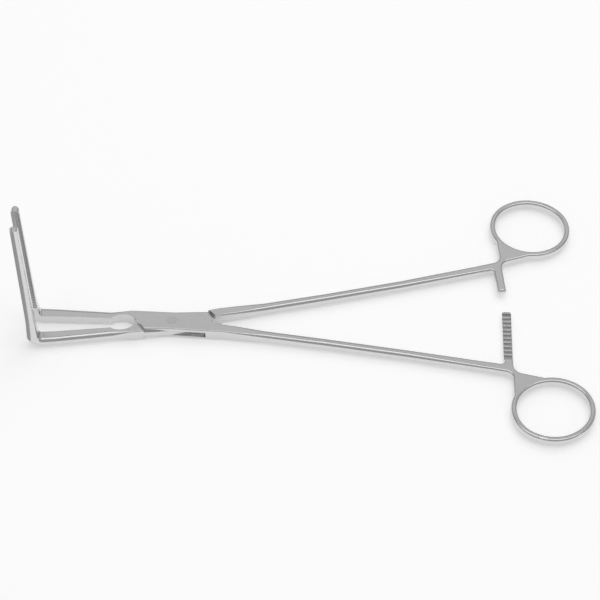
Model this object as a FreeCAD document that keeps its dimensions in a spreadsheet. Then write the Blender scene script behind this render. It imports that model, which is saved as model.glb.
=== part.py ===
import FreeCAD
import Part
import Sketcher
import math
import os

# Right angle clamp. Two forged halves cross in a box lock and turn on a flush pin.
# Each half is drawn closed, on the instrument's own middle plane: +X runs from the pin to
# the finger rings, +Z is the way the jaws point. The placement then opens the halves and
# lifts them until the box lock stands on Z = 0.

document = FreeCAD.newDocument("right_angle_clamp")

SIZES = [
    ("open_angle", "7.2", "angle between the halves as drawn, from fully closed (degrees)"),
    ("lock_height", "6.6", "thickness of the box lock"),
    ("lock_waist", "4.35", "half width of the box lock beside the pin"),
    ("lock_end_width", "5.2", "half width of the box lock at the shanks"),
    ("lock_jaw_width", "4.6", "half width of the box lock at the jaws"),
    ("lock_reach", "15.1", "pin to the far corner of the box lock's cheeks, towards the jaws"),
    ("jaw_end_slope", "0.757", "lean of the cheeks' ends there for each unit of width"),
    ("shank_reach", "14.7", "pin to the far corner of the cheeks, towards the shanks"),
    ("cheek_slope", "0.51", "lean of the cheeks' ends there for each unit of width"),
    ("waist_x", "1", "pin to the box lock's narrowest place"),
    ("flank_x", "16", "pin to the corner of the box lock's whole flank"),
    ("flank_width", "4.9", "half width of the box lock at that corner"),
    ("root_lap", "3", "how far the lock's blocks run on into the jaw roots"),
    ("cheek_inset", "0.5", "cheek metal that passes the middle line"),
    ("slot_height", "3.2", "height of the slot through the box"),
    ("slot_reach", "14.4", "pin to the slot's end wall"),
    ("slot_lean", "0.075", "lean of the slot's inner side for each unit of length past its end wall"),
    ("tongue_clearance", "0.05", "gap above and below the tongue"),
    ("tongue_width", "4.2", "half width of the tongue"),
    ("tongue_reach", "13.4", "pin to the tongue's free corner"),
    ("shoulder_gap", "0.8", "gap from cheek to jaw shoulder when closed"),
    ("ramp_gap", "0.3", "gap from cheek to the foot of the shoulder's ramp when closed"),
    ("ramp_far_gap", "0.65", "gap from cheek to the top of the ramp at its outer end"),
    ("ramp_near_gap", "1.75", "the same gap at its inner end"),
    ("shoulder_width", "4.2", "half width of the shank's shoulder"),
    ("lock_round", "0.6", "rounding of the box lock's long edges"),
    ("middle_gap", "0.3", "gap between the two roots when closed"),
    ("pin_radius", "1.9", "radius of the pivot pin"),
    ("pin_clearance", "0.03", "radial clearance of the pin in the tongue"),
    ("relief_centre", "20.9", "pin to the middle of the eye between the jaw roots"),
    ("relief_length", "5", "half length of the eye"),
    ("relief_width", "2.5", "half width of the eye"),
    ("relief_end", "1.7", "radius of the eye's ends"),
    ("shank_start", "21", "pin to the start of the shank's taper"),
    ("shank_end", "134", "pin to the end of the shank"),
    ("shank_root_offset", "2.9", "middle of the shank at its start, from the centre line"),
    ("shank_slope", "0.091", "sideways run of the shank for each unit of length at its start"),
    ("shank_bow", "0.00026", "how fast the shank bows outward"),
    ("shank_root_width", "3.9", "width of the shank at the box lock"),
    ("shank_width", "3.8", "width of the shank"),
    ("shank_height", "4.9", "height of the shank behind the taper"),
    ("handle_height", "4.4", "height of the rings and ratchet roots"),
    ("ring_x", "159.6", "pin to the middle of the finger ring"),
    ("ring_y", "36.8", "middle of the finger ring from the centre line"),
    ("ring_length", "16.35", "half length of the ring, to the middle of its wire"),
    ("ring_breadth", "14.3", "half breadth of the ring, to the middle of its wire"),
    ("ring_wire", "2.5", "width of the ring's wire"),
    ("ring_end", "13.2", "radius of the ring's ends, to the middle of its wire"),
    ("ring_turn", "9.6", "turn of the ring's long axis (degrees)"),
    ("edge_round", "1.1", "rounding of the rings' and web's edges"),
    ("section_step", "0.08", "how much a bar's end is smaller than the block that takes it over"),
    ("web_throat", "0.35", "step from the ratchet arm's outer side to the web's throat"),
    ("web_knee", "3.6", "web's corner to the middle of the ring's wire"),
    ("web_lap", "0.6", "how far the web's edge stays short of that middle"),
    ("web_top", "3.5", "web's far corner to the ring's middle"),
    ("web_outer_round", "3.5", "fillet between shank and ring"),
    ("web_inner_round", "1.6", "fillet between shank and ratchet arm"),
    ("web_ring_round", "4", "fillet between ratchet arm and ring"),
    ("arm_x", "142.1", "pin to the middle of the ratchet arms"),
    ("arm_width", "3.8", "width of the ratchet arms"),
    ("arm_gap", "0.15", "gap from the middle plane to a row of teeth"),
    ("short_arm_tip", "3.8", "tip of the short ratchet arm from the centre line"),
    ("long_arm_tip", "-12.2", "tip of the long ratchet arm from the centre line"),
    ("long_arm_root", "12.5", "inner end of the long arm's tooth face"),
    ("short_arm_root", "13.2", "inner end of the short arm's tooth face"),
    ("root_ramp", "1.4", "run of the ramp behind each tooth face"),
    ("tooth_start", "0.5", "arm tip to its first tooth"),
    ("tooth_pitch", "2.1", "pitch of the ratchet teeth"),
    ("tooth_depth", "0.8", "depth of the ratchet teeth"),
    ("tip_round", "0.8", "corner rounding of the ratchet arms' tips"),
    ("jaw_x", "58.5", "pin to the middle of the upright jaws"),
    ("jaw_length", "75.2", "middle plane to the jaws' tips"),
    ("jaw_tip_gap", "0.1", "closed gap from the centre line to a jaw's face at its tip"),
    ("jaw_heel_gap", "0.5", "the same gap at the bend"),
    ("jaw_root_gap", "0.8", "the same gap at the jaw roots"),
    ("jaw_arm_height", "4.8", "height of the level jaw arms"),
    ("jaw_arm_thickness", "4.9", "thickness of the level jaw arms at the bend"),
    ("jaw_base", "13", "middle plane to where the upright jaw has its own section"),
    ("jaw_width", "3.9", "width of the upright jaws above the bend"),
    ("jaw_tip_width", "3.3", "width of the jaws at their tips"),
    ("jaw_thickness", "3.6", "thickness of a jaw above the bend"),
    ("jaw_tip_thickness", "2.6", "thickness of a jaw at its tip"),
    ("jaw_back_round", "1.6", "rounding of the jaws' backs"),
    ("arm_back_round", "2.1", "rounding of the jaw arms' backs"),
    ("bend_radius", "4", "radius of the bend, at the middle of the jaw arm"),
    ("grip_start", "9", "middle plane to the lowest serration"),
    ("grip_pitch", "1.2", "pitch of the jaws' serrations"),
    ("grip_depth", "0.3", "depth of the jaws' serrations"),
    ("grip_width", "0.8", "width of a serration at the jaw's face"),
    ("rail_width", "0.8", "width of the rail along one jaw"),
    ("rail_height", "0.25", "height of that rail"),
    ("groove_width", "1.1", "width of the groove along the other jaw"),
    ("groove_depth", "0.5", "depth of that groove"),
    ("strip_end", "2.5", "jaw tip to the end of the rail and the groove"),
]

sheet = document.addObject("Spreadsheet::Sheet", "dims")
for row, (alias, text, meaning) in enumerate(SIZES, start=1):
    sheet.set(f"A{row}", meaning)
    sheet.set(f"B{row}", text)
    sheet.setAlias(f"B{row}", alias)
document.recompute()


class Size:
    """A length held twice: as text that names sheet cells, and as its value now."""

    def __init__(self, text, value):
        self.text = text
        self.value = float(value)

    @staticmethod
    def of(thing):
        if isinstance(thing, Size):
            return thing
        return Size(repr(float(thing)), thing)

    def __add__(self, other):
        other = Size.of(other)
        return Size(f"({self.text} + {other.text})", self.value + other.value)

    def __sub__(self, other):
        other = Size.of(other)
        return Size(f"({self.text} - {other.text})", self.value - other.value)

    def __mul__(self, other):
        other = Size.of(other)
        return Size(f"({self.text} * {other.text})", self.value * other.value)

    def __truediv__(self, other):
        other = Size.of(other)
        return Size(f"({self.text} / {other.text})", self.value / other.value)

    def __neg__(self):
        return Size(f"(-1 * {self.text})", -self.value)


def cell(alias):
    return Size(f"dims.{alias}", sheet.get(alias))


def plane(body, role):
    return next(item for item in body.Origin.OriginFeatures if item.Role == role)


def new_sketch(body, name, role="XY_Plane", offset=None, lean=None):
    """Attach an empty sketch to a plane of the body, moved along its normal and turned about it."""
    sketch = body.newObject("Sketcher::SketchObject", name)
    sketch.AttachmentSupport = [(plane(body, role), "")]
    sketch.MapMode = "FlatFace"
    if offset is not None:
        turn = FreeCAD.Rotation(FreeCAD.Vector(0, 0, 1), lean.value if lean else 0)
        sketch.AttachmentOffset = FreeCAD.Placement(FreeCAD.Vector(0, 0, offset.value), turn)
        sketch.setExpression("AttachmentOffset.Base.z", offset.text)
    if lean is not None:
        sketch.setExpression("AttachmentOffset.Rotation.Angle", lean.text)
    return sketch


def tie(sketch, kind, *parts):
    """Add one sketch constraint whose value, the last of parts, follows the sheet."""
    size = parts[-1]
    index = sketch.addConstraint(Sketcher.Constraint(kind, *parts[:-1], size.value))
    sketch.setExpression(f"Constraints[{index}]", size.text)


def pin_point(sketch, shape, end, x, y):
    tie(sketch, "DistanceX", -1, 1, shape, end, x)
    tie(sketch, "DistanceY", -1, 1, shape, end, y)


def draw_polygon(sketch, corners):
    """Close an outline of straight lines through corners given as pairs of sizes."""
    points = [FreeCAD.Vector(x.value, y.value, 0) for x, y in corners]
    lines = [sketch.addGeometry(Part.LineSegment(start, end))
             for start, end in zip(points, points[1:] + points[:1])]
    for line, following, (x, y) in zip(lines, lines[1:] + lines[:1], corners[1:] + corners[:1]):
        sketch.addConstraint(Sketcher.Constraint("Coincident", line, 2, following, 1))
        pin_point(sketch, following, 1, x, y)


def draw_circle(sketch, radius):
    circle = sketch.addGeometry(Part.Circle(FreeCAD.Vector(0, 0, 0), FreeCAD.Vector(0, 0, 1), radius.value))
    sketch.addConstraint(Sketcher.Constraint("Coincident", circle, 3, -1, 1))
    tie(sketch, "Radius", circle, radius)


def draw_oval(sketch, half_length, half_breadth, end_radius):
    """Draw an oval of four tangent arcs about the sketch's origin, its long axis along X."""
    reach = half_length - end_radius
    spare = reach * reach + half_breadth * half_breadth - end_radius * end_radius
    side_radius = spare / ((half_breadth - end_radius) * 2)
    drop = side_radius - half_breadth
    joint = math.atan2(drop.value, reach.value)
    up = FreeCAD.Vector(0, 0, 1)
    ends = [joint, math.pi - joint, math.pi + joint, 2 * math.pi - joint]
    places = [
        (reach.value, 0, end_radius.value, -joint, joint),
        (0, -drop.value, side_radius.value, ends[0], ends[1]),
        (-reach.value, 0, end_radius.value, ends[1], ends[2]),
        (0, drop.value, side_radius.value, ends[2], ends[3]),
    ]
    arcs = []
    for x, y, radius, start, stop in places:
        circle = Part.Circle(FreeCAD.Vector(x, y, 0), up, radius)
        arcs.append(sketch.addGeometry(Part.ArcOfCircle(circle, start, stop)))
    for arc, following in zip(arcs, arcs[1:] + arcs[:1]):
        sketch.addConstraint(Sketcher.Constraint("Tangent", arc, 2, following, 1))
    for arc, place in ((arcs[0], reach), (arcs[2], -reach)):
        sketch.addConstraint(Sketcher.Constraint("PointOnObject", arc, 3, -1))
        tie(sketch, "DistanceX", -1, 1, arc, 3, place)
        tie(sketch, "Radius", arc, end_radius)
    tie(sketch, "DistanceY", -1, 1, arcs[1], 3, -drop)
    tie(sketch, "DistanceY", -1, 1, arcs[3], 3, drop)


def draw_section(sketch, left, right, bottom, top, rounds):
    """Draw a rectangle whose corners have the four radii in rounds, or are sharp for None.

    The corners go round from bottom left through bottom right.
    """
    corners = [(left.value, bottom.value), (right.value, bottom.value),
               (right.value, top.value), (left.value, top.value)]
    runs = [(1, 0), (0, 1), (-1, 0), (0, -1)]
    cut = [radius.value if radius else 0 for radius in rounds]
    up = FreeCAD.Vector(0, 0, 1)
    lines = []
    for i, (along_x, along_y) in enumerate(runs):
        x, y = corners[i]
        following = (i + 1) % 4
        end_x, end_y = corners[following]
        first = FreeCAD.Vector(x + along_x * cut[i], y + along_y * cut[i], 0)
        last = FreeCAD.Vector(end_x - along_x * cut[following], end_y - along_y * cut[following], 0)
        lines.append(sketch.addGeometry(Part.LineSegment(first, last)))
        sketch.addConstraint(Sketcher.Constraint(["Horizontal", "Vertical"][i % 2], lines[i]))
    for i, radius in enumerate(rounds):
        before = lines[i - 1]
        if radius is None:
            sketch.addConstraint(Sketcher.Constraint("Coincident", before, 2, lines[i], 1))
            continue
        along_x, along_y = runs[i]
        back_x, back_y = runs[i - 1]
        x, y = corners[i]
        centre = FreeCAD.Vector(x + (along_x - back_x) * cut[i], y + (along_y - back_y) * cut[i], 0)
        start = math.radians(180 + 90 * i)
        circle = Part.Circle(centre, up, cut[i])
        arc = sketch.addGeometry(Part.ArcOfCircle(circle, start, start + math.pi / 2))
        sketch.addConstraint(Sketcher.Constraint("Tangent", before, 2, arc, 1))
        sketch.addConstraint(Sketcher.Constraint("Tangent", arc, 2, lines[i], 1))
        tie(sketch, "Radius", arc, radius)
    tie(sketch, "DistanceY", -1, 1, lines[0], 1, bottom)
    tie(sketch, "DistanceX", -1, 1, lines[1], 1, right)
    tie(sketch, "DistanceY", -1, 1, lines[2], 1, top)
    tie(sketch, "DistanceX", -1, 1, lines[3], 1, left)


def settle(body, feature):
    body.Tip = feature
    document.recompute()
    return feature


def pad(body, name, sketch, length, side="Symmetric", kind="PartDesign::Pad"):
    sketch.Visibility = False
    feature = body.newObject(kind, name)
    feature.Profile = (sketch, [""])
    feature.SideType = side
    feature.Length = length.value
    feature.setExpression("Length", length.text)
    return settle(body, feature)


def pocket(body, name, sketch, length, side="Symmetric"):
    return pad(body, name, sketch, length, side, "PartDesign::Pocket")


def loft(body, name, sections):
    feature = body.newObject("PartDesign::AdditiveLoft", name)
    feature.Profile = (sections[0], [""])
    feature.Sections = [(section, [""]) for section in sections[1:]]
    return settle(body, feature)


def row_of(body, name, original, sketch, direction, pitch, count):
    feature = body.newObject("PartDesign::LinearPattern", name)
    feature.Originals = [original]
    feature.Direction = (sketch, [direction])
    feature.Mode = "Spacing"
    feature.Offset = pitch.value
    feature.setExpression("Offset", pitch.text)
    feature.Occurrences = count
    return settle(body, feature)


def round_edges(body, name, radius, wanted):
    """Fillet the edges of the body's tip that wanted picks."""
    base = body.Tip
    names = [f"Edge{i}" for i, edge in enumerate(base.Shape.Edges, start=1) if wanted(edge)]
    feature = body.newObject("PartDesign::Fillet", name)
    feature.Base = (base, names)
    feature.Radius = radius.value
    feature.setExpression("Radius", radius.text)
    return settle(body, feature)


def is_upright(edge, x, y, reach):
    """Say whether an edge runs along Z within reach of the point x, y."""
    low, high = edge.BoundBox.Center, edge.BoundBox
    flat = high.XLength < 0.01 and high.YLength < 0.01
    return flat and math.hypot(low.x - x.value, low.y - y.value) < reach


lock_half = cell("lock_height") / 2
handle_half = cell("handle_height") / 2


def shank_middle(x):
    """Distance of the shank's middle from the centre line at a place along the clamp."""
    run = x - cell("shank_start")
    return cell("shank_root_offset") + cell("shank_slope") * run + cell("shank_bow") * run * run


def shank_lean(x):
    """Slope of the shank's middle at a place along the clamp."""
    return cell("shank_slope") + cell("shank_bow") * (x - cell("shank_start")) * 2


def ring_sketch(body, name, side, beyond):
    """Draw the finger ring's oval, grown by beyond from the middle of its wire."""
    sketch = new_sketch(body, name)
    middle = FreeCAD.Vector(cell("ring_x").value, cell("ring_y").value * side, 0)
    turn = cell("ring_turn") * -side
    up = FreeCAD.Vector(0, 0, 1)
    sketch.AttachmentOffset = FreeCAD.Placement(middle, FreeCAD.Rotation(up, turn.value))
    sketch.setExpression("AttachmentOffset.Base.x", cell("ring_x").text)
    sketch.setExpression("AttachmentOffset.Base.y", (cell("ring_y") * side).text)
    sketch.setExpression("AttachmentOffset.Rotation.Angle", turn.text)
    draw_oval(sketch, cell("ring_length") + beyond, cell("ring_breadth") + beyond, cell("ring_end") + beyond)
    return sketch


def add_handle(body, side, arm_tip):
    """Ring, web and ratchet arm: flat forgings of one height with rounded edges."""
    height = cell("handle_height")
    wire = cell("ring_wire") / 2
    pad(body, "ring", ring_sketch(body, "ring_outline", side, wire), height)

    start = cell("shank_end")
    arm_left = cell("arm_x") - cell("arm_width") / 2
    arm_right = cell("arm_x") + cell("arm_width") / 2
    half = cell("shank_width") / 2
    inner = shank_middle(start) - half
    outer = shank_middle(start) + half
    throat = arm_right - cell("web_throat")
    rise = (throat - start) * shank_lean(start)
    ring_near = cell("ring_y") - cell("ring_breadth")
    corners = [
        (start, inner),
        (arm_left, inner + (arm_left - start) * shank_lean(start)),
        (arm_left, arm_tip),
        (arm_right, arm_tip),
        (arm_right, ring_near - cell("web_knee")),
        (cell("ring_x") - 1, ring_near - cell("web_lap")),
        (cell("ring_x"), cell("ring_y")),
        (throat, cell("ring_y") - cell("web_top")),
        (throat, outer + rise),
        (start, outer),
    ]
    web = new_sketch(body, "web_outline")
    draw_polygon(web, [(x, y * side) for x, y in corners])
    pad(body, "web", web, height)

    pocket(body, "finger_hole", ring_sketch(body, "finger_hole_outline", side, -wire), height * 2)

    for name, radius, corner in (
        ("outer_web_round", "web_outer_round", corners[8]),
        ("inner_web_round", "web_inner_round", corners[1]),
        ("ring_web_round", "web_ring_round", corners[4]),
    ):
        round_edges(body, name, cell(radius), lambda e: is_upright(e, corner[0], corner[1] * side, 0.5))
    tips = (corners[2], corners[3])
    round_edges(body, "arm_tip_round", cell("tip_round"),
                lambda e: any(is_upright(e, x, y * side, 0.5) for x, y in tips))
    level = handle_half.value - 0.01
    round_edges(body, "handle_edge_round", cell("edge_round"),
                lambda e: abs(e.BoundBox.Center.z) > level and e.BoundBox.Center.x > start.value + 0.5)


def add_teeth(body, side, face_sign, arm_tip, arm_root, count):
    """Cut one arm back to its tooth face, then cut the row of saw teeth across it."""
    face = cell("arm_gap") * -face_sign
    clear = handle_half * 1.5 * face_sign
    ramp = cell("root_ramp")
    across = cell("arm_width") * 2
    beyond = arm_tip - 2
    relief = new_sketch(body, "tooth_face_outline", "YZ_Plane", cell("arm_x"))
    draw_polygon(relief, [
        (arm_root * side, face),
        (beyond * side, face),
        (beyond * side, clear),
        ((arm_root + ramp) * side, clear),
    ])
    pocket(body, "tooth_face", relief, across)

    first = arm_tip + cell("tooth_start")
    pitch = cell("tooth_pitch")
    depth = cell("tooth_depth")
    tooth = new_sketch(body, "tooth_outline", "YZ_Plane", cell("arm_x"))
    draw_polygon(tooth, [
        (first * side, face + clear * 0.1),
        ((first + pitch * 0.98) * side, face + clear * 0.1),
        ((first + pitch * 0.98) * side, face - depth * face_sign),
        (first * side, face),
    ])
    cut = pocket(body, "tooth", tooth, across)
    row = row_of(body, "teeth", cut, tooth, "H_Axis", pitch, count)
    row.Reversed = side < 0
    settle(body, row)


def add_shank(body, side):
    """The long shank: flat and tall at the box lock, then an even rounded bar.

    Its end sections stay a hair inside the box lock's and the web's, whose own faces close them.
    """
    start = cell("shank_start")
    length = cell("shank_end") - start
    width = cell("shank_width")
    height = cell("shank_height")
    inside = cell("section_step")
    stations = [
        (0.0, cell("shank_root_width") - inside, cell("lock_height") - inside, cell("lock_round")),
        (0.06, width * 1.05, height * 1.22, cell("lock_round") * 1.4),
        (0.16, width, height * 1.06, cell("jaw_back_round")),
        (0.4, width, height * 0.98, width * 0.46),
        (0.7, width, height * 0.93, width * 0.46),
        (1.0, width - inside, cell("handle_height") - inside, cell("edge_round")),
    ]
    sections = []
    for i, (part, across, tall, corner) in enumerate(stations):
        x = start + length * part
        middle = shank_middle(x) * side
        sketch = new_sketch(body, f"shank_section_{i}", "YZ_Plane", x)
        draw_section(sketch, middle - across / 2, middle + across / 2, -tall / 2, tall / 2, [corner] * 4)
        sections.append(sketch)
    for i, pair in reversed(list(enumerate(zip(sections, sections[1:])))):
        loft(body, f"shank_{i}", pair)


def side_section(body, name, x, side, near, far, tall, back):
    """A section across a jaw arm: flat towards the other jaw, rounded at its back."""
    sketch = new_sketch(body, name, "YZ_Plane", x)
    if side > 0:
        draw_section(sketch, -far, -near, -tall / 2, tall / 2, [back, None, None, back])
    else:
        draw_section(sketch, near, far, -tall / 2, tall / 2, [None, back, back, None])
    return sketch


def jaw_section(body, name, z, side, near, far, wide, back):
    """A section across an upright jaw, drawn like side_section but seen from above."""
    sketch = new_sketch(body, name, "XY_Plane", z)
    left = -cell("jaw_x") - wide / 2
    right = -cell("jaw_x") + wide / 2
    if side > 0:
        draw_section(sketch, left, right, -far, -near, [back, back, None, None])
    else:
        draw_section(sketch, left, right, near, far, [None, None, back, back])
    return sketch


def jaw_gap_at(z):
    """Closed gap from the centre line to an upright jaw's face: the tips meet first."""
    rise = cell("jaw_length") - cell("bend_radius")
    opening = cell("jaw_heel_gap") - cell("jaw_tip_gap")
    return cell("jaw_tip_gap") + opening * (cell("jaw_length") - z) / rise


def jaw_lean():
    """Angle of an upright jaw's face to the upright, in degrees."""
    opening = cell("jaw_heel_gap") - cell("jaw_tip_gap")
    rise = cell("jaw_length") - cell("bend_radius")
    angle = math.degrees(math.atan(opening.value / rise.value))
    return Size(f"atan({opening.text} / {rise.text})", angle)


def add_jaw(body, side):
    """Level jaw arm, right angle bend and upright jaw."""
    tall = cell("jaw_arm_height")
    heel_gap = cell("jaw_heel_gap")
    root_gap = cell("jaw_root_gap")
    back = cell("arm_back_round")
    jaw_back = cell("jaw_back_round")
    bend = cell("bend_radius")
    bend_x = -cell("jaw_x") + bend
    arm_far = heel_gap + cell("jaw_arm_thickness")
    root_far = cell("lock_jaw_width")
    neck_x = -cell("relief_centre") - cell("relief_length")
    inside = cell("section_step")
    arm = [
        side_section(body, "jaw_root_section", -cell("lock_reach") - 2.6, side, root_gap, root_far - inside,
                     cell("lock_height") - inside * 2, cell("lock_round")),
        side_section(body, "jaw_neck_section", neck_x, side, root_gap, root_far + 0.1, tall, back),
        side_section(body, "jaw_arm_section", bend_x + 5, side, root_gap * 0.9, arm_far, tall, back),
        side_section(body, "bend_section", bend_x, side, heel_gap, arm_far, tall, back),
    ]
    loft(body, "jaw_root", arm[:2])
    loft(body, "jaw_arm", arm[1:3])
    loft(body, "jaw_arm_end", arm[2:])

    path = new_sketch(body, "bend_path", "XZ_Plane")
    circle = Part.Circle(FreeCAD.Vector(bend_x.value, bend.value, 0), FreeCAD.Vector(0, 0, 1), bend.value)
    arc = path.addGeometry(Part.ArcOfCircle(circle, math.pi, 1.5 * math.pi))
    pin_point(path, arc, 3, bend_x, bend)
    pin_point(path, arc, 1, -cell("jaw_x"), bend)
    tie(path, "DistanceX", -1, 1, arc, 2, bend_x)
    corner = body.newObject("PartDesign::AdditivePipe", "bend")
    corner.Profile = (arm[-1], [""])
    corner.Spine = (path, ["Edge1"])
    settle(body, corner)

    base = cell("jaw_base")
    top = cell("jaw_length")
    base_far = jaw_gap_at(base) + cell("jaw_thickness")
    tip_far = jaw_gap_at(top) + cell("jaw_tip_thickness")
    upright = [
        jaw_section(body, "bend_end_section", bend, side, heel_gap, arm_far, tall, back),
        jaw_section(body, "jaw_base_section", base, side, jaw_gap_at(base), base_far,
                    cell("jaw_width"), jaw_back),
        jaw_section(body, "jaw_tip_section", top, side, jaw_gap_at(top), tip_far,
                    cell("jaw_tip_width"), jaw_back),
    ]
    loft(body, "jaw_heel", upright[:2])
    loft(body, "upright_jaw", upright[1:])
    round_jaw_tip(body)


def round_jaw_tip(body):
    """Cut away what stands outside a half round, as seen from the front of the jaw."""
    radius = cell("jaw_tip_width") * 0.54
    top = cell("jaw_length")
    level = top - radius
    left = -cell("jaw_x") - radius
    right = -cell("jaw_x") + radius
    sketch = new_sketch(body, "jaw_tip_outline", "XZ_Plane")
    middle = FreeCAD.Vector(-cell("jaw_x").value, level.value, 0)
    circle = Part.Circle(middle, FreeCAD.Vector(0, 0, 1), radius.value)
    arc = sketch.addGeometry(Part.ArcOfCircle(circle, 0, math.pi))
    pin_point(sketch, arc, 3, -cell("jaw_x"), level)
    corners = [(left, level), (left - 1, level), (left - 1, top + 1), (right + 1, top + 1),
               (right + 1, level), (right, level)]
    points = [FreeCAD.Vector(x.value, y.value, 0) for x, y in corners]
    lines = [sketch.addGeometry(Part.LineSegment(a, b)) for a, b in zip(points, points[1:])]
    sketch.addConstraint(Sketcher.Constraint("Coincident", arc, 2, lines[0], 1))
    for line, following, (x, y) in zip(lines, lines[1:], corners[1:]):
        sketch.addConstraint(Sketcher.Constraint("Coincident", line, 2, following, 1))
        pin_point(sketch, following, 1, x, y)
    sketch.addConstraint(Sketcher.Constraint("Coincident", lines[-1], 2, arc, 1))
    pin_point(sketch, arc, 1, right, level)
    tie(sketch, "DistanceY", -1, 1, arc, 2, level)
    pocket(body, "jaw_tip_round", sketch, cell("jaw_thickness") * 4)


def jaw_face_sketch(body, name, side):
    """A sketch on the jaw's middle plane whose upright axis runs along the jaw's face."""
    return new_sketch(body, name, "YZ_Plane", -cell("jaw_x"), jaw_lean() * -side)


def add_grip(body, side):
    """Fine serrations across the jaw's face, the grip of a clamp that must not cut."""
    depth = cell("grip_depth")
    face = jaw_gap_at(Size.of(0)) * -side
    low = cell("grip_start")
    notch = jaw_face_sketch(body, "serration_outline", side)
    beyond = face + depth * 0.4 * side
    spread = cell("grip_width") * 0.7
    draw_polygon(notch, [
        (face - depth * side, low),
        (beyond, low - spread),
        (beyond, low + spread),
    ])
    cut = pocket(body, "serration", notch, cell("jaw_arm_height") * 1.2)
    count = int((cell("jaw_length").value - cell("grip_start").value) / cell("grip_pitch").value)
    row_of(body, "serrations", cut, notch, "V_Axis", cell("grip_pitch"), count)


def face_strip(body, name, side, inner, outer):
    """A long narrow outline along the jaw's face, from inner to outer, measured from the face."""
    face = jaw_gap_at(Size.of(0)) * -side
    low = cell("grip_start")
    high = cell("jaw_length") - cell("strip_end")
    sketch = jaw_face_sketch(body, name, side)
    draw_polygon(sketch, [
        (face + inner * side, low),
        (face + outer * side, low),
        (face + outer * side, high),
        (face + inner * side, high),
    ])
    return sketch


def cut_relief(body):
    """The eye between the jaw roots, cut half from each of them."""
    sketch = new_sketch(body, "relief_outline")
    sketch.AttachmentOffset.Base.x = -cell("relief_centre").value
    sketch.setExpression("AttachmentOffset.Base.x", (-cell("relief_centre")).text)
    draw_oval(sketch, cell("relief_length"), cell("relief_width"), cell("relief_end"))
    pocket(body, "relief", sketch, cell("lock_height") * 2)


def cut_bore(body, radius):
    sketch = new_sketch(body, "pin_bore_outline")
    draw_circle(sketch, radius)
    pocket(body, "pin_bore", sketch, cell("lock_height") * 2)


def place_half(body, side):
    """Open the half about the pin and stand the box lock on the resting plane."""
    body.setExpression("Placement.Rotation.Angle", f"dims.open_angle * {0.5 * side}")
    body.setExpression("Placement.Base.z", lock_half.text)
    document.recompute()


def round_lock_edges(body, name):
    """Round the long outer edges that run along the box lock's top and underside."""
    level = lock_half.value - 0.01
    reach = cell("shank_start").value - 0.5
    inside = cell("lock_waist").value - 0.3

    def wanted(edge):
        box = edge.BoundBox
        flat = box.ZLength < 0.01 and abs(box.Center.z) > level
        outer = abs(box.Center.y) > inside and box.XLength > box.YLength * 2
        return flat and outer and abs(box.Center.x) < reach

    round_edges(body, name, cell("lock_round"), wanted)


neck_width = (cell("lock_waist") + cell("lock_jaw_width")) / 2


def cheek_end(y):
    """Place along the clamp of the cheeks' slanting end at the shanks, at a distance y across it."""
    return cell("shank_reach") + cell("cheek_slope") * (cell("lock_end_width") - y)


def jaw_cheek_end(y):
    """The same for the cheeks' other slanting end, at the jaws."""
    return cell("jaw_end_slope") * (cell("cheek_inset") - y) - cell("lock_reach")


def add_ramps(body, far_foot, near_foot, far_top, near_top):
    """The slopes from the shank's shoulder down to the tongue, above and below it."""
    behind = cell("shank_start") - cell("ramp_gap")
    tongue_half = cell("slot_height") / 2 - cell("tongue_clearance")
    for name, sign in (("ramp_above", 1), ("ramp_below", -1)):
        outlines = []
        for end, level, far, near in (
            ("foot", tongue_half, far_foot, near_foot),
            ("top", lock_half, far_top, near_top),
        ):
            outline = new_sketch(body, f"{name}_{end}", "XY_Plane", level * sign)
            draw_polygon(outline, [far, near, (behind, near[1]), (behind, far[1])])
            outlines.append(outline)
        loft(body, name, outlines)


def build_female_half():
    body = document.addObject("PartDesign::Body", "female_half")
    side = -1
    tip = cell("long_arm_tip")
    add_handle(body, side, tip)
    add_teeth(body, side, 1, tip, cell("long_arm_root"), 12)
    add_shank(body, side)

    root_end = -cell("lock_reach") - cell("root_lap")
    inset = cell("cheek_inset")
    start = cell("shank_start")
    half = cell("shank_root_width") / 2
    root_y = cell("shank_root_offset")
    box = new_sketch(body, "box_outline")
    draw_polygon(box, [
        (root_end, inset),
        (jaw_cheek_end(inset), inset),
        (jaw_cheek_end(-neck_width), -neck_width),
        (cell("waist_x"), -cell("lock_waist")),
        (cell("flank_x"), -cell("flank_width")),
        (start, -root_y - half),
        (start, -root_y + half),
        (cheek_end(-root_y + half), -root_y + half),
        (cheek_end(cell("lock_end_width")), cell("lock_end_width")),
        (cell("waist_x"), cell("lock_waist")),
        (root_end, cell("lock_jaw_width")),
    ])
    pad(body, "box", box, cell("lock_height"))
    round_lock_edges(body, "box_edge_round")
    add_jaw(body, side)

    wide = cell("lock_end_width") * 2
    end = cell("slot_reach")
    beyond = end + cell("root_lap") + 1
    past_cheeks = cheek_end(-inset) + 1
    slot = new_sketch(body, "slot_outline")
    draw_polygon(slot, [
        (-end, wide),
        (-end, inset),
        (-beyond, inset),
        (-beyond, -wide),
        (end, -wide),
        (end, -inset),
        (past_cheeks, -inset - (past_cheeks - end) * cell("slot_lean")),
        (past_cheeks, wide),
    ])
    pocket(body, "slot", slot, cell("slot_height"))
    cut_relief(body)
    cut_bore(body, cell("pin_radius"))

    add_grip(body, side)
    depth = cell("groove_depth")
    groove = face_strip(body, "groove_outline", side, -depth, depth)
    pocket(body, "groove", groove, cell("groove_width"))
    place_half(body, side)


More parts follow.
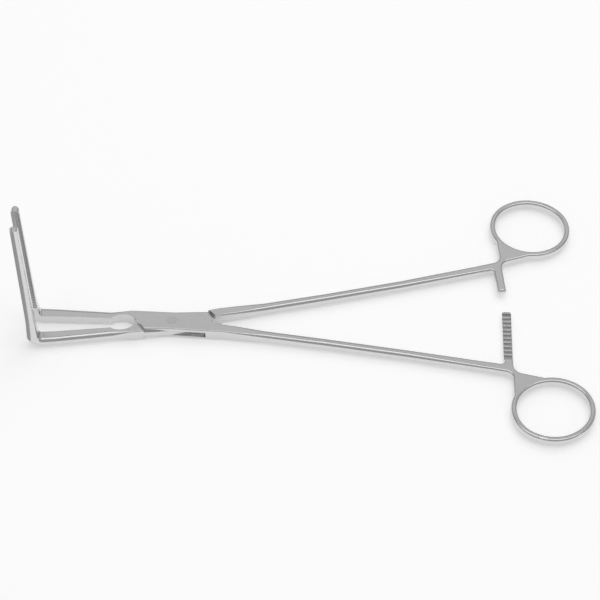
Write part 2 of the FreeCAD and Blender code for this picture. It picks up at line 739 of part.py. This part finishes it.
def build_male_half():
    body = document.addObject("PartDesign::Body", "male_half")
    side = 1
    tip = cell("short_arm_tip")
    add_handle(body, side, tip)
    add_teeth(body, side, -1, tip, cell("short_arm_root"), 4)
    add_shank(body, side)

    root_end = -cell("lock_reach") - cell("root_lap")
    start = cell("shank_start")
    half = cell("shank_root_width") / 2
    root_y = cell("shank_root_offset")
    middle = cell("middle_gap")
    far_y = cell("shoulder_width")
    near_y = root_y - half
    far_x = cheek_end(far_y)
    near_x = cheek_end(near_y)
    foot_gap = cell("ramp_gap")
    far_top = (far_x + cell("ramp_far_gap"), far_y)
    near_top = (near_x + cell("ramp_near_gap"), near_y)
    shoulder = new_sketch(body, "shank_shoulder_outline")
    draw_polygon(shoulder, [far_top, near_top, (start, near_y), (start, root_y + half)])
    pad(body, "shank_shoulder", shoulder, cell("lock_height"))
    add_ramps(body, (far_x + foot_gap, far_y), (near_x + foot_gap, near_y), far_top, near_top)
    round_lock_edges(body, "shank_shoulder_round")

    tongue = new_sketch(body, "tongue_outline")
    wide = cell("tongue_width")
    short = cell("tongue_reach")
    draw_polygon(tongue, [
        (-short, wide),
        (-short, middle),
        (root_end, middle),
        (root_end, -wide),
        (short, -wide),
        (short, -middle),
        (cheek_end(-middle), -middle),
        (start - 0.5, root_y),
        (far_x + 1, wide),
    ])
    pad(body, "tongue", tongue, cell("slot_height") - cell("tongue_clearance") * 2)
    gap = cell("shoulder_gap")
    inner = -cell("jaw_root_gap")
    root = new_sketch(body, "jaw_shoulder_outline")
    draw_polygon(root, [
        (root_end, inner),
        (jaw_cheek_end(inner) - gap, inner),
        (jaw_cheek_end(-neck_width) - gap, -neck_width),
        (root_end, -cell("lock_jaw_width")),
    ])
    pad(body, "jaw_shoulder", root, cell("lock_height"))
    round_lock_edges(body, "jaw_shoulder_round")
    add_jaw(body, side)
    cut_relief(body)
    cut_bore(body, cell("pin_radius") + cell("pin_clearance"))

    add_grip(body, side)
    rail = face_strip(body, "rail_outline", side, -cell("grip_depth") * 1.5, cell("rail_height"))
    pad(body, "rail", rail, cell("rail_width"))
    place_half(body, side)


def build_pivot_pin():
    body = document.addObject("PartDesign::Body", "pivot_pin")
    outline = new_sketch(body, "pin_outline")
    draw_circle(outline, cell("pin_radius"))
    pad(body, "pin", outline, cell("lock_height"))
    body.setExpression("Placement.Base.z", lock_half.text)
    document.recompute()


build_female_half()
build_male_half()
build_pivot_pin()
document.recompute()

for item in document.Objects:
    if "Invalid" in item.State or "Error" in item.State:
        raise RuntimeError(f"{item.Name} failed to build")

os.makedirs("parts", exist_ok=True)
for name in ("female_half", "male_half", "pivot_pin"):
    shape = document.getObject(name).Shape
    if shape.isNull() or not shape.isValid():
        raise RuntimeError(f"{name} has no sound shape")
    shape.exportStep(f"parts/{name}.step")
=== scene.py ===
import math
import bmesh
import bpy
from mathutils import Matrix, Vector


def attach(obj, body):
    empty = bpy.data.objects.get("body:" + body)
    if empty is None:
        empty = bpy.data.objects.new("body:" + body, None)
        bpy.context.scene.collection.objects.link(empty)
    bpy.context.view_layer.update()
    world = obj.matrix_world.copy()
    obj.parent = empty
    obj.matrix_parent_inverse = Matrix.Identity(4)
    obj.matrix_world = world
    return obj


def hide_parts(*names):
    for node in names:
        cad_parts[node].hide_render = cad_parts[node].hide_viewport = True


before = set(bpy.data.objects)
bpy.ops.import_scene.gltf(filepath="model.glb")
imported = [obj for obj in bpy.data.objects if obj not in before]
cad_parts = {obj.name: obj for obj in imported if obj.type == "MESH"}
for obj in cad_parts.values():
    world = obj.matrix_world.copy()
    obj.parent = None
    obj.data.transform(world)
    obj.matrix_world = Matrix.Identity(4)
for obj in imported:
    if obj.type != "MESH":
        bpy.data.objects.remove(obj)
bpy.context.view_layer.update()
bpy.context.scene.view_settings.view_transform = "Standard"

# The camera stands where the photograph's did: in front of the clamp and well above it, with the
# jaws' ends leaning away from it. It looks at the middle of the clamp on the table.
look_at = Vector((0.0546, 0.0115, 0.0033))
camera_distance = 0.7866
camera_azimuth = math.radians(3.18)
camera_elevation = math.radians(55)
camera_roll = math.radians(1.52)
camera_data = bpy.data.cameras.new("camera")
camera_data.lens = 110.2
camera_data.sensor_width = 36
camera_data.clip_start = 0.05
camera_data.clip_end = 20
camera = bpy.data.objects.new("camera", camera_data)
bpy.context.scene.collection.objects.link(camera)
aimed = (Matrix.Rotation(-camera_azimuth, 4, "Z")
         @ Matrix.Rotation(math.pi / 2 - camera_elevation, 4, "X"))
backward = aimed @ Vector((0, 0, 1))
stand_point = Matrix.Translation(look_at + backward * camera_distance)
camera.matrix_world = stand_point @ aimed @ Matrix.Rotation(camera_roll, 4, "Z")
bpy.context.scene.camera = camera

# The table is a plain sheet of matt white board, far wider than the picture. It keeps the clamp's
# soft shadow, and both the camera and the steel see it almost white through its glow.
table_size = 12
board_seen_glow = 0.32
board_mirrored_glow = 0.34


def linear(hex_colour):
    """A colour written as sRGB hex, turned to the linear values that a shader takes."""
    channels = [int(hex_colour[i:i + 2], 16) / 255 for i in (1, 3, 5)]
    return [c / 12.92 if c <= 0.04045 else ((c + 0.055) / 1.055) ** 2.4 for c in channels] + [1]


def add_node(tree, kind, settings=None, **inputs):
    """Add a node, set its own settings, and fill or link its sockets by name or by number."""
    node = tree.nodes.new(kind)
    for name, value in (settings or {}).items():
        setattr(node, name, value)
    for name, value in inputs.items():
        key = int(name[2:]) if name.startswith("at") else name.replace("_", " ")
        socket = node.inputs[key]
        if isinstance(value, bpy.types.NodeSocket):
            tree.links.new(value, socket)
        else:
            socket.default_value = value
    return node


def new_material(name):
    """An empty material and its node tree."""
    material = bpy.data.materials.new(name)
    material.use_nodes = True
    material.node_tree.nodes.clear()
    return material, material.node_tree


board, tree = new_material("matt_white_board")
lit = add_node(tree, "ShaderNodeBsdfDiffuse", Color=linear("#f4f4f4"))
rays = add_node(tree, "ShaderNodeLightPath")
mirrored_glow = add_node(tree, "ShaderNodeMath", {"operation": "MULTIPLY"},
                         at0=rays.outputs["Is Glossy Ray"], at1=board_mirrored_glow)
glow_strength = add_node(tree, "ShaderNodeMath", {"operation": "MULTIPLY_ADD"},
                         at0=rays.outputs["Is Camera Ray"], at1=board_seen_glow,
                         at2=mirrored_glow.outputs[0])
glow = add_node(tree, "ShaderNodeEmission", Color=linear("#ffffff"),
                Strength=glow_strength.outputs[0])
both = add_node(tree, "ShaderNodeAddShader", at0=lit.outputs[0], at1=glow.outputs[0])
add_node(tree, "ShaderNodeOutputMaterial", Surface=both.outputs[0])
bpy.ops.mesh.primitive_plane_add(size=table_size)
table = bpy.context.object
table.name = "table"
table.data.materials.append(board)

# A grey card lies beside the jaws, out of the picture. The steel mirrors it, which gives the
# jaws their darker left flanks, and nothing else sees it.
card_middle = (-0.157, -0.01, 0.0005)
card_width, card_depth = 0.19, 0.22
card_material, tree = new_material("grey_card")
card_tone = add_node(tree, "ShaderNodeEmission", Color=linear("#ffffff"), Strength=0.4)
add_node(tree, "ShaderNodeOutputMaterial", Surface=card_tone.outputs[0])
bpy.ops.mesh.primitive_plane_add(size=1)
card = bpy.context.object
card.name = "grey_card"
card.data.transform(Matrix.Translation(card_middle)
                    @ Matrix.Diagonal((card_width, card_depth, 1, 1)))
card.data.materials.append(card_material)
card.visible_camera = False
card.visible_diffuse = False
card.visible_shadow = False
card.visible_transmission = False

# The room is an even mid grey, so that the steel has something darker to mirror between the soft
# boxes. The camera sees it as the same pale paper as the table.
world = bpy.data.worlds.new("room")
bpy.context.scene.world = world
world.use_nodes = True
tree = world.node_tree
tree.nodes.clear()
rays = add_node(tree, "ShaderNodeLightPath")
room = add_node(tree, "ShaderNodeBackground", Color=linear("#a8a8a8"))
paper = add_node(tree, "ShaderNodeBackground", Color=linear("#fcfcfc"))
either = add_node(tree, "ShaderNodeMixShader", at0=rays.outputs["Is Camera Ray"],
                  at1=room.outputs[0], at2=paper.outputs[0])
add_node(tree, "ShaderNodeOutputWorld", Surface=either.outputs[0])

# A big soft box hangs over the clamp, and a dimmer one stands behind it. The clamp's round bars
# mirror the first as their highlights, and its flat tops mirror the second. The key box throws
# the table's soft shadows towards the viewer, and the steel doesn't mirror it.
lit_middle = Vector((0.05, 0, 0))


def soft_box(name, elevation, azimuth, distance, width, height, brightness):
    """A rectangular soft box that faces the clamp from a direction given in degrees."""
    up, round_about = math.radians(elevation), math.radians(azimuth)
    away = Vector((math.sin(round_about) * math.cos(up),
                   math.cos(round_about) * math.cos(up), math.sin(up)))
    data = bpy.data.lights.new(name, "AREA")
    data.shape = "RECTANGLE"
    data.size = width
    data.size_y = height
    data.energy = brightness * width * height * math.pi
    lamp = bpy.data.objects.new(name, data)
    lamp.location = lit_middle + away * distance
    lamp.rotation_euler = (-away).to_track_quat("-Z", "Y").to_euler()
    bpy.context.scene.collection.objects.link(lamp)
    return lamp


soft_box("overhead_box", 97, 0, 1.3, 1.8, 0.6, 1.05)
soft_box("back_box", 52, 0, 1.4, 2.2, 0.6, 0.27)
key_box = soft_box("key_box", 72, 20, 1.6, 1.0, 1.0, 1.3)
key_box.visible_glossy = False

# Each half is one forging of stainless steel, from the jaw's tip to the finger ring, ground all
# over and finished satin with fine abrasive: bright and even, with a fine grain along it and
# softly worn edges. Its ratchet teeth are cut across the arm beside the ring.
open_half = math.radians(7.2 / 2)
arm_from, arm_to = 0.1402, 0.1440
first_tooth, tooth_pitch = 0.5e-3, 2.1e-3
valley_slide = 0.96 * tooth_pitch
crease_angle = math.radians(26)
flat_angle = math.radians(0.5)


def satin_steel(name, colour, smooth, rough, grain_height):
    """Stainless steel with a fine grain along the clamp, patches of wear and softened edges."""
    grain_width = 0.00025
    grain_stretch = 0.12
    patch_width = 0.006
    worn_edge = 0.0002
    material, tree = new_material(name)
    place = add_node(tree, "ShaderNodeTexCoord")
    along = add_node(tree, "ShaderNodeMapping", Vector=place.outputs["Object"],
                     Scale=(grain_stretch, 1, 1))
    grain = add_node(tree, "ShaderNodeTexNoise", Vector=along.outputs[0], Scale=1 / grain_width,
                     Detail=4.0)
    patches = add_node(tree, "ShaderNodeTexNoise", Vector=place.outputs["Object"],
                       Scale=1 / patch_width, Detail=3.0)
    mixed = add_node(tree, "ShaderNodeMath", {"operation": "ADD"}, at0=grain.outputs[0],
                     at1=patches.outputs[0])
    gloss = add_node(tree, "ShaderNodeMapRange", Value=mixed.outputs[0], From_Min=0.6,
                     From_Max=1.4, To_Min=smooth, To_Max=rough)
    tint = add_node(tree, "ShaderNodeMapRange", Value=grain.outputs[0], From_Min=0.3,
                    From_Max=0.7, To_Min=0.94, To_Max=1.0)
    shade = add_node(tree, "ShaderNodeMix", {"data_type": "RGBA", "blend_type": "MULTIPLY"},
                     Factor=1.0, at6=linear(colour), at7=tint.outputs[0])
    edge = add_node(tree, "ShaderNodeBevel", {"samples": 8}, Radius=worn_edge)
    bump = add_node(tree, "ShaderNodeBump", Height=grain.outputs[0], Strength=0.3,
                    Distance=grain_height, Normal=edge.outputs[0])
    metal = add_node(tree, "ShaderNodeBsdfPrincipled", Base_Color=shade.outputs[2], Metallic=1.0,
                     Roughness=gloss.outputs[0], Normal=bump.outputs[0])
    add_node(tree, "ShaderNodeOutputMaterial", Surface=metal.outputs[0])
    return material


def dress_half(name, node, body, side, arm_tip, valley_height, teeth, steel):
    """Copy a half, lean its ratchet teeth the way they catch, and give it smooth surfaces.

    arm_tip is how far the ratchet arm's tip lies from the middle line with the clamp closed, on
    the half's own side, and is negative where the arm reaches past that line.
    """
    margin, hair = 1e-4, 2e-5
    row_length = tooth_pitch * teeth
    form = bmesh.new()
    form.from_mesh(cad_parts[node].data)
    bmesh.ops.remove_doubles(form, verts=form.verts, dist=1e-7)
    closed = Matrix.Rotation(-open_half * side, 4, "Z")
    opened = closed.inverted()

    def past_tip(place):
        """How far inward a place on the ratchet arm lies from the tip, or None off the arm."""
        on_arm = arm_from - margin < place.x < arm_to + margin
        return place.y * side - arm_tip if on_arm else None

    # The arm's flat facets are joined first, so that each valley is one edge across the arm.
    near = []
    for vert in form.verts:
        inward = past_tip(closed @ vert.co)
        if inward is not None and -margin < inward < row_length + 1e-3:
            near.append(vert)
    chosen = set(near)
    edges = [edge for edge in form.edges if all(vert in chosen for vert in edge.verts)]
    bmesh.ops.dissolve_limit(form, angle_limit=flat_angle, verts=near, edges=edges)

    # The solids' teeth are steep on the side of the arm's tip. The real ones are steep on the
    # side of its root, to ride over each other in closing and to catch in opening, so each
    # valley slides towards the tip until its steep wall stands on the other side.
    for vert in form.verts:
        place = closed @ vert.co
        inward = past_tip(place)
        in_row = inward is not None and 0 < inward - first_tooth < row_length
        if in_row and abs(place.z - valley_height) < hair:
            place.y -= side * valley_slide
            vert.co = opened @ place

    bmesh.ops.triangulate(form, faces=[face for face in form.faces if len(face.verts) > 3])
    for face in form.faces:
        face.smooth = True
    for edge in form.edges:
        edge.smooth = len(edge.link_faces) == 2 and edge.calc_face_angle() < crease_angle
    mesh = bpy.data.meshes.new(name)
    form.to_mesh(mesh)
    form.free()
    half = bpy.data.objects.new(name, mesh)
    bpy.context.scene.collection.objects.link(half)
    flat_first = half.modifiers.new("flat_faces_first", "WEIGHTED_NORMAL")
    flat_first.keep_sharp = True
    mesh.materials.append(steel)
    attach(half, body)
    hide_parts(node)


ground_steel = satin_steel("ground_stainless_steel", "#dcdcdc", 0.2, 0.28, 0.00001)
dress_half("box_lock_half", "female_half", "box_half", -1, -0.0122, 0.00235, 12, ground_steel)
dress_half("tongue_half_forging", "male_half", "tongue_half", 1, 0.0038, 0.00425, 4,
           ground_steel)

# The pivot pin is a plain turned pin of hard stainless steel. It is riveted flush and ground
# together with the box lock, so only a hair line shows round it.
pin_steel = satin_steel("turned_stainless_steel", "#d8d8d8", 0.22, 0.3, 0.00001)
for material_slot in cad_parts["pivot_pin"].material_slots:
    material_slot.material = pin_steel
